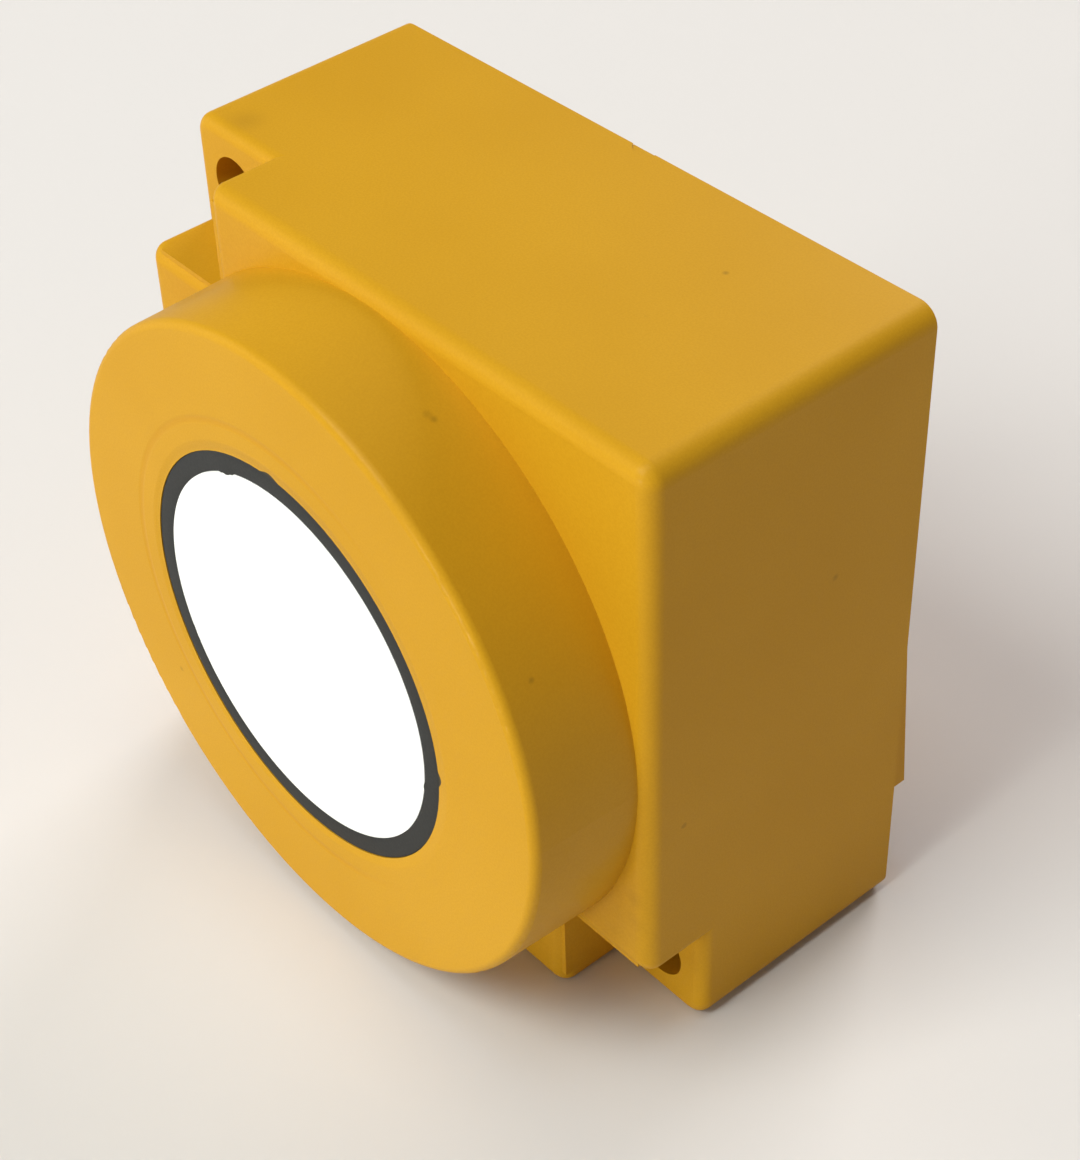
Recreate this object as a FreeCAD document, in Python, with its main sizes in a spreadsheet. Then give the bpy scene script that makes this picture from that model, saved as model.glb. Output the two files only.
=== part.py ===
import FreeCAD, Part
import os
import re
import Sketcher

# Square ultrasonic proximity sensor: a moulded block with a round transducer drum in front,
# two diagonal mounting ears, a wedge-shaped rear cover and a four-pole M12 connector.
# Frame: X to the right seen from the front, Z up, the sound leaves along -Y.
# The origin is the centre of the mounting pattern on the block's rear plane.

V = FreeCAD.Vector
doc = FreeCAD.newDocument("ultrasonic_sensor")

# Driving dimensions in millimetres, angles in degrees
SIZES = [
    ("block_side", 80.0, "side of the square block"),
    ("block_depth", 37.0, "block from rear plane to front plane"),
    ("corner_radius", 2.3, "rounding of the block's four long corners"),
    ("front_radius", 1.9, "rounding round the front plane"),
    ("drum_inset", 1.85, "drum inside the block's sides"),
    ("drum_height", 13.0, "drum in front of the front plane"),
    ("drum_draft", 1.5, "slope of the drum's side for the mould, degrees"),
    ("drum_rim_radius", 1.0, "rounding of the drum's rim"),
    ("ear_side", 13.5, "side of the square screw seat cut into a corner"),
    ("ear_depth", 8.0, "screw seat below the front plane"),
    ("ear_edge_radius", 1.5, "rounding of the screw seat's outer edge"),
    ("seat_edge_radius", 1.3, "rounding where the seat's walls leave the block's sides"),
    ("ear_hole_radius", 3.5, "mounting hole"),
    ("ear_wall", 3.0, "wall between a screw seat and the inside"),
    ("ear_column", 12.85, "side of the solid column round a mounting hole"),
    ("rim_width", 2.0, "wall outside the cover"),
    ("ledge_width", 1.5, "ledge that carries the cover gasket"),
    ("front_wall", 3.5, "front wall of the block"),
    ("drum_wall", 3.0, "side wall of the drum"),
    ("drum_skin", 3.0, "front wall of the drum"),
    ("face_radius", 21.5, "sounding face"),
    ("ring_width", 2.35, "decoupling ring, radially"),
    ("face_setback", 0.1, "sounding face below the drum face"),
    ("ring_setback", 0.4, "decoupling ring below the drum face"),
    ("face_thick", 3.5, "matching layer"),
    ("fit_gap", 0.03, "clearance between parts that fit"),
    ("sleeve_wall", 2.5, "wall of the transducer sleeve"),
    ("sleeve_length", 18.0, "sleeve behind the drum face"),
    ("ring_lip", 2.0, "inward lip at the rear of the decoupling ring"),
    ("cup_wall", 1.8, "wall of the transducer cup"),
    ("piezo_radius", 14.0, "piezo disc"),
    ("piezo_thick", 2.5, "piezo disc"),
    ("frame_web", 2.0, "disc of the inner frame"),
    ("frame_wall", 2.2, "outer wall of the inner frame"),
    ("rib_count", 12, "ribs between sleeve and outer wall"),
    ("rib_thick", 1.4, "rib"),
    ("rib_height", 9.0, "ribs and outer wall of the inner frame, from its front"),
    ("clamp_boss_radius", 2.4, "boss for a clamp screw"),
    ("clamp_thick", 1.6, "clamp plate"),
    ("clamp_reach", 7.85, "clamp plate inside the decoupling ring's outer radius"),
    ("screw_shank", 1.2, "radius of the small screws"),
    ("screw_head", 2.4, "head radius of the small screws"),
    ("screw_head_height", 1.6, "head of the small screws"),
    ("screw_length", 7.0, "small screws below the head"),
    ("board_side_gap", 2.2, "board clear of the cover bosses"),
    ("board_end_gap", 3.65, "board clear of the ear columns"),
    ("board_thick", 1.6, "circuit board"),
    ("board_room", 12.4, "space between the clamp plate and the board"),
    ("post_space", 1.7, "post under the board, clear of the ear walls"),
    ("post_margin", 0.5, "post under the board inside the frame's wall"),
    ("post_gap", 0.3, "clamp plate clear of the posts"),
    ("post_radius", 3.0, "post under the board"),
    ("cover_edge", 3.5, "cover below the rear plane"),
    ("cover_tilt", 4.3, "slope of the cover's outer face, degrees"),
    ("cover_flush", 30.0, "height at which the cover is flush with the rear plane"),
    ("cover_gap", 0.15, "gap round the cover"),
    ("gasket_thick", 0.8, "cover gasket"),
    ("cover_boss_radius", 3.2, "boss for a cover screw"),
    ("cover_boss_inset", 2.6, "cover screw from the inner walls"),
    ("cover_screw_floor", 1.4, "cover left under a screw head"),
    ("cover_screw_length", 12.0, "cover screws below the head"),
    ("pry_radius", 1.9, "half-round notch in the top rear edge"),
    ("pry_depth", 1.0, "reach of the notch"),
    ("tab_drop", 0.1, "tab of the cover in the notch, below the top face"),
    ("tab_length", 5.0, "tab of the cover in the notch"),
    ("plug_radius", 6.0, "outer radius of the mating thread"),
    ("panel_radius", 7.0, "outer radius of the panel thread"),
    ("panel_reach", 7.7, "panel thread behind the rear plane"),
    ("plug_bore", 4.2, "inside of the connector"),
    ("plug_reach", 17.0, "connector behind the rear plane"),
    ("plug_well", 8.5, "open depth of the connector"),
    ("plug_flange", 10.5, "radius of the flange inside the cover"),
    ("plug_flange_thick", 2.0, "flange inside the cover"),
    ("plug_tail", 3.0, "insert ahead of the flange"),
    ("seal_width", 1.9, "flat seal under the flange, radially"),
    ("seal_thick", 1.0, "flat seal under the flange"),
    ("seat_radius", 12.0, "flat round seat for the nut"),
    ("seat_height", 4.2, "nut seat behind the rear plane"),
    ("nut_flat", 9.5, "nut, centre to flat"),
    ("nut_thick", 3.0, "nut"),
    ("pin_circle", 2.5, "radius of the pin circle"),
    ("pin_radius", 0.5, "contact pin"),
    ("pin_count", 4, "contact pins"),
    ("pin_short", 1.5, "pin tip below the connector's end"),
    ("pin_tail", 2.5, "pin ahead of the insert"),
    ("lead_radius", 0.6, "insulated lead"),
    ("pipe_radius", 1.5, "light pipe"),
    ("lead_spread", 4.0, "transducer lead off the centre"),
    ("core_width", 12.0, "transformer core"),
    ("core_height", 10.0, "transformer core"),
    ("core_thick", 7.0, "transformer core"),
    ("bobbin_width", 9.0, "transformer bobbin"),
    ("bobbin_height", 13.0, "transformer bobbin"),
    ("bobbin_thick", 1.2, "transformer bobbin"),
    ("can_radius", 4.0, "storage capacitor"),
    ("can_length", 9.0, "storage capacitor"),
    ("controller_side", 9.0, "microcontroller"),
    ("controller_thick", 1.1, "microcontroller"),
    ("crystal_width", 6.0, "quartz crystal"),
    ("crystal_height", 3.4, "quartz crystal"),
    ("crystal_thick", 1.3, "quartz crystal"),
    ("regulator_width", 6.5, "voltage regulator"),
    ("regulator_height", 6.2, "voltage regulator"),
    ("regulator_thick", 2.2, "voltage regulator"),
    ("shield_width", 14.0, "shield can"),
    ("shield_height", 11.0, "shield can"),
    ("shield_thick", 3.0, "shield can"),
    ("terminal_width", 9.0, "pin terminal"),
    ("terminal_height", 9.0, "pin terminal"),
    ("led_width", 3.0, "status light"),
    ("led_height", 2.0, "status light"),
    ("led_thick", 1.2, "status light"),
    ("led_gap", 0.3, "status light to light pipe"),
    ("chip_width", 2.0, "small chip"),
    ("chip_height", 1.25, "small chip"),
    ("chip_thick", 0.6, "small chip"),
    ("cover_wall", 2.4, "cover where it is cored out"),
    ("cover_land", 3.0, "solid edge round the cored part of the cover"),
    ("cover_rib", 1.6, "rib inside the cover"),
]

sheet = doc.addObject("Spreadsheet::Sheet", "sizes")
for row, (alias, value, note) in enumerate(SIZES, 1):
    sheet.set("A%d" % row, note)
    sheet.set("B%d" % row, str(value))
    sheet.setAlias("B%d" % row, alias)
doc.recompute()

# Places and sizes that follow from the driving dimensions.
# Depths count forward from the rear plane, towards the sounding face.
DERIVED = {
    "half_side": "block_side / 2",
    "drum_radius": "half_side - drum_inset",
    "drum_face": "block_depth + drum_height",
    "seat_half": "half_side - rim_width",
    "cavity_half": "half_side - rim_width - ledge_width",
    "cavity_front": "block_depth - front_wall",
    "ear_inner": "half_side - ear_side",
    "ear_centre": "half_side - ear_side / 2",
    "ear_floor": "block_depth - ear_depth",
    "corner_inner": "half_side - ear_side - ear_wall",
    "seat_corner": "half_side - ear_column",
    "ledge_corner": "half_side - ear_column - ledge_width",
    "drum_inner": "drum_radius - drum_wall",
    "drum_floor": "block_depth + drum_height - drum_skin",
    "ring_outer": "face_radius + ring_width",
    "sleeve_bore": "ring_outer + fit_gap",
    "sleeve_outer": "sleeve_bore + sleeve_wall",
    "sleeve_rear": "drum_face - sleeve_length",
    "frame_outer": "drum_inner - 5 * fit_gap",
    "face_front": "drum_face - face_setback",
    "face_rear": "face_front - face_thick",
    "cup_rear": "sleeve_rear + ring_lip",
    "cup_inner": "face_radius - fit_gap - cup_wall",
    "clamp_rear": "sleeve_rear - clamp_thick",
    "clamp_circle": "(sleeve_outer + frame_outer) / 2",
    "clamp_bore": "ring_outer - clamp_reach",
    "board_seat": "clamp_rear - board_room",
    "board_half_width": "boss_far - cover_boss_radius - board_side_gap",
    "board_half_height": "ledge_corner - board_end_gap",
    "drum_root": "drum_radius + (drum_height + front_radius) * tan(drum_draft * 1deg)",
    "lead_depth": "insert_front + pin_tail",
    "terminal_thick": "board_rear - lead_depth",
    "pipe_x": "0.7 * board_half_width",
    "pipe_z": "0.55 * board_half_height",
    "core_out": "cover_half - cover_land - ledge_width",
    "pilot_radius": "screw_shank + fit_gap",
    "hole_radius": "screw_shank + 5 * fit_gap",
    "post_circle": "frame_outer - post_radius - post_margin",
    "post_z": "corner_inner - post_radius - post_space",
    "post_x": "sqrt((post_circle)^2 - (post_z)^2)",
    "board_rear": "board_seat - board_thick",
    "ledge_depth": "cover_edge + gasket_thick",
    "cover_half": "seat_half - cover_gap",
    "cover_corner": "seat_corner - cover_gap",
    "boss_far": "cavity_half - cover_boss_inset",
    "boss_near": "ledge_corner - cover_boss_inset",
    "head_seat": "cover_edge - cover_screw_floor",
    "shell_front": "cover_edge + plug_flange_thick",
    "well_floor": "plug_well - plug_reach",
    "insert_front": "shell_front + plug_tail",
    "seal_outer": "panel_radius + seal_width",
}


def full(text):
    """Write the derived names out and put the sheet's name before each driving dimension."""
    while True:
        grown = re.sub(r"\b[a-z]+(?:_[a-z]+)+\b",
                       lambda m: "(%s)" % DERIVED[m.group(0)] if m.group(0) in DERIVED else m.group(0),
                       text)
        if grown == text:
            break
        text = grown
    return re.sub(r"\b[a-z]+(?:_[a-z]+)+\b", lambda m: "sizes." + m.group(0), text)


def value(text):
    """The number that an expression gives now."""
    return float(sheet.evalExpression(full(text)))


def bind(thing, prop, text):
    thing.setExpression(prop, full(text))


def new_body(name):
    body = doc.addObject("PartDesign::Body", name)
    body.Label = name
    return body


def new_sketch(body, name, plane="XZ_Plane", offset="0"):
    """A sketch on an origin plane. On XZ_Plane its offset counts forward and it sees X and Z."""
    sketch = body.newObject("Sketcher::SketchObject", body.Name + "_" + name)
    origin = [f for f in body.Origin.OriginFeatures if f.Role == plane][0]
    sketch.AttachmentSupport = [(origin, "")]
    sketch.MapMode = "FlatFace"
    if offset != "0":
        bind(sketch, "AttachmentOffset.Base.z", offset)
    return sketch


def hold(sketch, geo, point, across, up):
    """Tie a point of the sketch to two expressions."""
    for kind, axis, text in (("DistanceX", -2, across), ("DistanceY", -1, up)):
        if text == "0":
            sketch.addConstraint(Sketcher.Constraint("PointOnObject", geo, point, axis))
            continue
        number = value(text)
        index = sketch.addConstraint(Sketcher.Constraint(kind, -1, 1, geo, point, number))
        bind(sketch, "Constraints[%d]" % index, text)


def loop(sketch, points):
    """A closed outline through points given as pairs of expressions."""
    spots = [V(value(a), value(b), 0) for a, b in points]
    count = len(spots)
    first = sketch.GeometryCount
    for i in range(count):
        sketch.addGeometry(Part.LineSegment(spots[i], spots[(i + 1) % count]))
    for i in range(count):
        after = first + (i + 1) % count
        sketch.addConstraint(Sketcher.Constraint("Coincident", first + i, 2, after, 1))
    for i, (a, b) in enumerate(points):
        hold(sketch, first + i, 1, a, b)


def round_loop(sketch, corners):
    """A closed outline of level and upright lines; each corner has its own rounding, or "0"."""
    count = len(corners)
    first = sketch.GeometryCount
    ends = []
    for i, (across, up, radius) in enumerate(corners):
        sides = []
        for other in (corners[i - 1], corners[(i + 1) % count]):
            move_x = value(other[0]) - value(across)
            move_z = value(other[1]) - value(up)
            sign_x = "+" if move_x > 0 else "-"
            sign_z = "+" if move_z > 0 else "-"
            if radius == "0":
                sides.append((across, up))
            elif abs(move_x) > abs(move_z):
                sides.append(("%s %s (%s)" % (across, sign_x, radius), up))
            else:
                sides.append((across, "%s %s (%s)" % (up, sign_z, radius)))
        ends.append(sides)
    spots = [[V(value(a), value(b), 0) for a, b in pair] for pair in ends]
    pieces = []
    for i in range(count):
        after = (i + 1) % count
        line = sketch.addGeometry(Part.LineSegment(spots[i][1], spots[after][0]))
        hold(sketch, line, 1, *ends[i][1])
        hold(sketch, line, 2, *ends[after][0])
        pieces.append(line)
    for i, (across, up, radius) in enumerate(corners):
        before = pieces[i - 1]
        if radius == "0":
            continue
        start, end = spots[i]
        centre = start + end - V(value(across), value(up), 0)
        turn = (start - centre).cross(end - centre).z
        if turn < 0:
            start, end = end, start
        circle = Part.Circle(centre, V(0, 0, 1), value(radius))
        arc = sketch.addGeometry(Part.ArcOfCircle(circle, circle.parameter(start),
                                                  circle.parameter(end)))
        tips = (1, 2) if turn > 0 else (2, 1)
        sketch.addConstraint(Sketcher.Constraint("Coincident", before, 2, arc, tips[0]))
        sketch.addConstraint(Sketcher.Constraint("Coincident", arc, tips[1], pieces[i], 1))
        size = sketch.addConstraint(Sketcher.Constraint("Radius", arc, value(radius)))
        bind(sketch, "Constraints[%d]" % size, radius)
    return first


def ring(sketch, across, up, radius):
    """A circle with its centre and radius given as expressions."""
    spot = V(value(across), value(up), 0)
    geo = sketch.addGeometry(Part.Circle(spot, V(0, 0, 1), value(radius)))
    index = sketch.addConstraint(Sketcher.Constraint("Radius", geo, value(radius)))
    bind(sketch, "Constraints[%d]" % index, radius)
    hold(sketch, geo, 3, across, up)


def box_loop(sketch, left, right, low, high):
    loop(sketch, [(left, low), (right, low), (right, high), (left, high)])


def pad(body, sketch, length, backwards=False):
    feature = body.newObject("PartDesign::Pad", sketch.Name + "_pad")
    feature.Profile = sketch
    feature.Reversed = backwards
    bind(feature, "Length", length)
    sketch.Visibility = False
    return feature


def pocket(body, sketch, length, forwards=False, both=False):
    """A cut towards the rear, or forwards, or to both sides of the sketch."""
    feature = body.newObject("PartDesign::Pocket", sketch.Name + "_cut")
    feature.Profile = sketch
    feature.Reversed = forwards
    feature.Midplane = both
    bind(feature, "Length", length)
    return feature


def turned(body, sketch, kind="PartDesign::Revolution", axis="V_Axis"):
    """The sketch turned a full turn about its own axis."""
    feature = body.newObject(kind, sketch.Name + "_turn")
    feature.Profile = sketch
    feature.ReferenceAxis = (sketch, [axis])
    feature.Angle = 360
    return feature


def around(body, features, count):
    """Copies of features about the sensor's depth axis."""
    doc.recompute()
    axis = [f for f in body.Origin.OriginFeatures if f.Role == "Y_Axis"][0]
    pattern = body.newObject("PartDesign::PolarPattern", features[0].Name + "_round")
    pattern.Originals = features
    pattern.Axis = (axis, [""])
    pattern.Angle = 360
    bind(pattern, "Occurrences", count)
    body.Tip = pattern
    return pattern


def rounded(body, radius, wanted):
    """A fillet on the tip's edges that the test picks."""
    doc.recompute()
    base = body.Tip
    names = ["Edge%d" % (i + 1) for i, edge in enumerate(base.Shape.Edges) if wanted(edge)]
    fillet = body.newObject("PartDesign::Fillet", body.Name + "_round%d" % len(body.Group))
    fillet.Base = (base, names)
    bind(fillet, "Radius", radius)
    return fillet


def near(a, b):
    return abs(a - b) < 0.01


def spans(edge):
    box = edge.BoundBox
    return box.XLength, box.YLength, box.ZLength


# The housing, moulded in one piece with its drum, ear columns and cover bosses
def make_housing():
    body = new_body("housing")
    front = -value("block_depth")

    base = new_sketch(body, "base")
    round_loop(base, [
        ("-half_side", "-half_side", "corner_radius"), ("half_side", "-half_side", "corner_radius"),
        ("half_side", "half_side", "corner_radius"), ("-half_side", "half_side", "corner_radius")])
    pad(body, base, "ear_floor")
    floor = -value("ear_floor")
    rounded(body, "ear_edge_radius", lambda e: near(e.BoundBox.YMax, floor))

    block = new_sketch(body, "block", offset="ear_floor - ear_edge_radius - 0.5")
    round_loop(block, [
        ("-half_side", "-half_side", "corner_radius"), ("ear_inner", "-half_side", "seat_edge_radius"),
        ("ear_inner", "-ear_inner", "0"), ("half_side", "-ear_inner", "seat_edge_radius"),
        ("half_side", "half_side", "corner_radius"), ("-ear_inner", "half_side", "seat_edge_radius"),
        ("-ear_inner", "ear_inner", "0"), ("-half_side", "ear_inner", "seat_edge_radius")])
    pad(body, block, "ear_depth + ear_edge_radius + 0.5")
    rounded(body, "front_radius", lambda e: near(e.BoundBox.YMin, front) and spans(e)[1] < 0.01)

    drum = new_sketch(body, "drum", offset="block_depth - front_radius")
    ring(drum, "0", "0", "drum_root")
    stub = pad(body, drum, "drum_height + front_radius")
    bind(stub, "TaperAngle", "-1 * drum_draft")
    face = -value("drum_face")
    rounded(body, "drum_rim_radius", lambda e: near(e.BoundBox.YMax, face))
    clear = new_sketch(body, "seat_clear", offset="block_depth")
    box_loop(clear, "-half_side - 1", "-ear_inner", "ear_inner", "half_side + 1")
    box_loop(clear, "ear_inner", "half_side + 1", "-half_side - 1", "-ear_inner")
    pocket(body, clear, "front_radius + 0.5")

    inside = new_sketch(body, "inside")
    box_loop(inside, "-cavity_half", "cavity_half", "-cavity_half", "cavity_half")
    pocket(body, inside, "cavity_front", forwards=True)
    hollow = new_sketch(body, "drum_inside")
    ring(hollow, "0", "0", "drum_inner")
    pocket(body, hollow, "drum_floor", forwards=True)

    corners = new_sketch(body, "ear_columns")
    box_loop(corners, "-seat_half", "-ledge_corner", "ledge_corner", "seat_half")
    box_loop(corners, "ledge_corner", "seat_half", "-seat_half", "-ledge_corner")
    pad(body, corners, "ear_floor")
    walls = new_sketch(body, "ear_walls", offset="ear_floor - 2")
    loop(walls, [("-seat_half", "ear_inner"), ("-seat_half", "corner_inner"),
                 ("-corner_inner", "corner_inner"), ("-corner_inner", "seat_half"),
                 ("-ear_inner", "seat_half"), ("-ear_inner", "ear_inner")])
    loop(walls, [("seat_half", "-ear_inner"), ("seat_half", "-corner_inner"),
                 ("corner_inner", "-corner_inner"), ("corner_inner", "-seat_half"),
                 ("ear_inner", "-seat_half"), ("ear_inner", "-ear_inner")])
    pad(body, walls, "ear_depth + 2 - 0.5")

    cover_boss = new_sketch(body, "cover_boss", offset="ledge_depth")
    ring(cover_boss, "boss_far", "boss_far", "cover_boss_radius")
    ring(cover_boss, "boss_far", "-boss_near", "cover_boss_radius")
    first_cover_boss = pad(body, cover_boss, "cavity_front - ledge_depth + 1")
    around(body, [first_cover_boss], "2")

    bore = new_sketch(body, "transducer_bore", offset="drum_face")
    ring(bore, "0", "0", "sleeve_bore")
    pocket(body, bore, "drum_skin + 1")

    recess = new_sketch(body, "cover_recess")
    stepped_square(recess, "seat_half", "seat_corner")
    pocket(body, recess, "ledge_depth", forwards=True)

    holes = new_sketch(body, "ear_holes")
    ring(holes, "-ear_centre", "ear_centre", "ear_hole_radius")
    ring(holes, "ear_centre", "-ear_centre", "ear_hole_radius")
    pocket(body, holes, "block_depth", forwards=True)

    cover_pilot = new_sketch(body, "cover_pilot", offset="ledge_depth")
    ring(cover_pilot, "boss_far", "boss_far", "pilot_radius")
    ring(cover_pilot, "boss_far", "-boss_near", "pilot_radius")
    third_pilot = pocket(body, cover_pilot, "cover_screw_length", forwards=True)
    around(body, [third_pilot], "2")

    notch = new_sketch(body, "pry_notch", plane="XY_Plane", offset="half_side")
    ring(notch, "0", "pry_radius - pry_depth", "pry_radius")
    pocket(body, notch, "rim_width + 1")
    return body


# The inner frame, a ribbed moulding that holds the transducer and the board
def make_frame():
    body = new_body("inner_frame")
    disc = new_sketch(body, "disc", offset="drum_floor - frame_web")
    ring(disc, "0", "0", "frame_outer")
    pad(body, disc, "frame_web")
    rim = new_sketch(body, "rim", offset="drum_floor - rib_height")
    ring(rim, "0", "0", "frame_outer")
    ring(rim, "0", "0", "frame_outer - frame_wall")
    pad(body, rim, "rib_height - frame_web / 2")
    sleeve = new_sketch(body, "sleeve", offset="sleeve_rear")
    ring(sleeve, "0", "0", "sleeve_outer")
    pad(body, sleeve, "drum_floor - sleeve_rear")

    rib = new_sketch(body, "rib", offset="drum_floor - rib_height")
    box_loop(rib, "-rib_thick / 2", "rib_thick / 2", "sleeve_outer - 1",
             "frame_outer - frame_wall / 2")
    first_rib = pad(body, rib, "rib_height - frame_web / 2")
    around(body, [first_rib], "rib_count")

    boss = new_sketch(body, "clamp_boss", offset="sleeve_rear")
    ring(boss, "clamp_circle", "0", "clamp_boss_radius")
    first_boss = pad(body, boss, "drum_floor - sleeve_rear - frame_web / 2")
    around(body, [first_boss], "3")

    post = new_sketch(body, "board_post", offset="board_seat")
    ring(post, "post_x", "post_z", "post_radius")
    ring(post, "post_x", "-post_z", "post_radius")
    first_post = pad(body, post, "drum_floor - board_seat - frame_web / 2")
    around(body, [first_post], "2")

    bore = new_sketch(body, "transducer_bore", offset="drum_floor + 1")
    ring(bore, "0", "0", "sleeve_bore")
    pocket(body, bore, "sleeve_length")

    clamp_pilot = new_sketch(body, "clamp_pilot", offset="sleeve_rear")
    ring(clamp_pilot, "clamp_circle", "0", "pilot_radius")
    first_pilot = pocket(body, clamp_pilot, "screw_length", forwards=True)
    around(body, [first_pilot], "3")
    post_pilot = new_sketch(body, "post_pilot", offset="board_seat")
    ring(post_pilot, "post_x", "post_z", "pilot_radius")
    ring(post_pilot, "post_x", "-post_z", "pilot_radius")
    second_pilot = pocket(body, post_pilot, "screw_length", forwards=True)
    around(body, [second_pilot], "2")
    return body


def stepped_square(sketch, half, corner):
    """A square that leaves the two ear corners free."""
    points = [("-(%s)" % half, "-(%s)" % half), (corner, "-(%s)" % half),
              (corner, "-(%s)" % corner), (half, "-(%s)" % corner),
              (half, half), ("-(%s)" % corner, half),
              ("-(%s)" % corner, corner), ("-(%s)" % half, corner)]
    loop(sketch, points)


def turned_part(name, points, axis="V_Axis"):
    """A body turned about the depth axis; points are radius and forward depth."""
    body = new_body(name)
    sketch = new_sketch(body, "profile", plane="XY_Plane")
    loop(sketch, [(r, "-(%s)" % depth) for r, depth in points])
    turned(body, sketch, axis=axis)
    return body


# The sounding face and what sits behind it in the sleeve
def make_transducer():
    inner = "face_radius - fit_gap"
    face = turned_part("transducer_face", [
        ("0", "face_rear"), (inner, "face_rear"), (inner, "face_front"), ("0", "face_front")])
    turned_part("decoupling_ring", [
        ("ring_outer - ring_width - ring_lip", "sleeve_rear"), ("ring_outer", "sleeve_rear"),
        ("ring_outer", "drum_face - ring_setback"), ("face_radius", "drum_face - ring_setback"),
        ("face_radius", "cup_rear"), ("ring_outer - ring_width - ring_lip", "cup_rear")])
    turned_part("transducer_cup", [
        ("cup_inner", "cup_rear"), (inner, "cup_rear"), (inner, "face_rear"),
        ("cup_inner", "face_rear")])
    turned_part("piezo_disc", [
        ("0", "face_rear - piezo_thick"), ("piezo_radius", "face_rear - piezo_thick"),
        ("piezo_radius", "face_rear"), ("0", "face_rear")])
    absorber = turned_part("backing_absorber", [
        ("0", "cup_rear"), ("cup_inner - fit_gap", "cup_rear"), ("cup_inner - fit_gap", "face_rear"),
        ("piezo_radius + fit_gap", "face_rear"),
        ("piezo_radius + fit_gap", "face_rear - piezo_thick"), ("0", "face_rear - piezo_thick")])
    path = new_sketch(absorber, "lead_holes", offset="cup_rear")
    ring(path, "-lead_spread", "0", "lead_radius + fit_gap")
    ring(path, "lead_spread", "0", "lead_radius + fit_gap")
    pocket(absorber, path, "face_rear - cup_rear", forwards=True)
    return face


def make_clamp():
    """A flat ring with three lobes that holds the decoupling ring in the sleeve."""
    body = new_body("transducer_clamp")
    disc = new_sketch(body, "disc", offset="clamp_rear")
    ring(disc, "0", "0", "(sleeve_outer + clamp_circle) / 2")
    pad(body, disc, "clamp_thick")
    lobe = new_sketch(body, "lobe", offset="clamp_rear")
    ring(lobe, "clamp_circle", "0", "clamp_boss_radius + 1")
    first = pad(body, lobe, "clamp_thick")
    around(body, [first], "3")
    bore = new_sketch(body, "bore", offset="clamp_rear")
    ring(bore, "0", "0", "clamp_bore")
    pocket(body, bore, "clamp_thick", forwards=True)
    hole = new_sketch(body, "hole", offset="clamp_rear")
    ring(hole, "clamp_circle", "0", "hole_radius")
    second = pocket(body, hole, "clamp_thick", forwards=True)
    around(body, [second], "3")
    clear = new_sketch(body, "post_clear", offset="clamp_rear")
    for side in ("", "-"):
        ring(clear, side + "post_x", "post_z", "post_radius + post_gap")
        ring(clear, side + "post_x", "-post_z", "post_radius + post_gap")
    pocket(body, clear, "clamp_thick", forwards=True)
    return body


def make_screws(name, places, seat, length, count, socket=False):
    """Round-head screws; seat is the forward depth under the head."""
    body = new_body(name)
    parts = []
    for i, (across, up) in enumerate(places):
        head = new_sketch(body, "head%d" % i, offset="%s - screw_head_height" % seat)
        ring(head, across, up, "screw_head")
        parts.append(pad(body, head, "screw_head_height"))
        shank = new_sketch(body, "shank%d" % i, offset="%s - 0.1" % seat)
        ring(shank, across, up, "screw_shank")
        parts.append(pad(body, shank, "%s + 0.1" % length))
        if socket:
            drive = new_sketch(body, "drive%d" % i, offset="%s - screw_head_height" % seat)
            hexagon(drive, across, up, "screw_head * 0.42")
            parts.append(pocket(body, drive, "screw_head_height * 0.6", forwards=True))
    around(body, parts, count)
    return body


def hexagon(sketch, across, up, flat):
    """A hexagon by its centre and the distance to its flats."""
    corner = "(%s) / cos(30deg)" % flat
    points = []
    for i in range(6):
        turn = 60 * i
        points.append(("(%s) + %s * cos(%ddeg)" % (across, corner, turn),
                       "(%s) + %s * sin(%ddeg)" % (up, corner, turn)))
    loop(sketch, points)


# The circuit board and what is soldered to it
def make_board():
    body = new_body("main_board")
    outline = new_sketch(body, "outline", offset="board_rear")
    box_loop(outline, "-board_half_width", "board_half_width",
             "-board_half_height", "board_half_height")
    pad(body, outline, "board_thick")
    rounded(body, "fit_gap * 50", lambda e: near(spans(e)[1], value("board_thick")))
    holes = new_sketch(body, "holes", offset="board_rear")
    for across in ("-post_x", "post_x"):
        for up in ("-post_z", "post_z"):
            ring(holes, across, up, "hole_radius")
    pocket(body, holes, "board_thick", forwards=True)
    return body


def brick(name, across, up, near_board, width, height, thick, behind):
    """A block soldered to the board, on its rear side when behind is true."""
    body = doc.addObject("Part::Box", name)
    body.Label = name
    bind(body, "Length", width)
    bind(body, "Width", thick)
    bind(body, "Height", height)
    bind(body, "Placement.Base.x", "(%s) - (%s) / 2" % (across, width))
    bind(body, "Placement.Base.z", "(%s) - (%s) / 2" % (up, height))
    if behind:
        bind(body, "Placement.Base.y", "-(board_rear) + (%s)" % near_board)
    else:
        bind(body, "Placement.Base.y", "-(board_seat) - (%s) - (%s)" % (near_board, thick))
    return body


def rod(name, across, up, start, radius, length):
    """A cylinder along the depth, from start forwards."""
    body = doc.addObject("Part::Cylinder", name)
    body.Label = name
    bind(body, "Radius", radius)
    bind(body, "Height", length)
    body.Placement = FreeCAD.Placement(V(0, 0, 0), FreeCAD.Rotation(V(1, 0, 0), 90))
    bind(body, "Placement.Base.x", across)
    bind(body, "Placement.Base.y", "-(%s)" % start)
    bind(body, "Placement.Base.z", up)
    return body


def joined(name, pieces):
    """Separate solids that form one node."""
    group = doc.addObject("Part::Compound", name)
    group.Label = name
    group.Links = pieces
    return group


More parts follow.
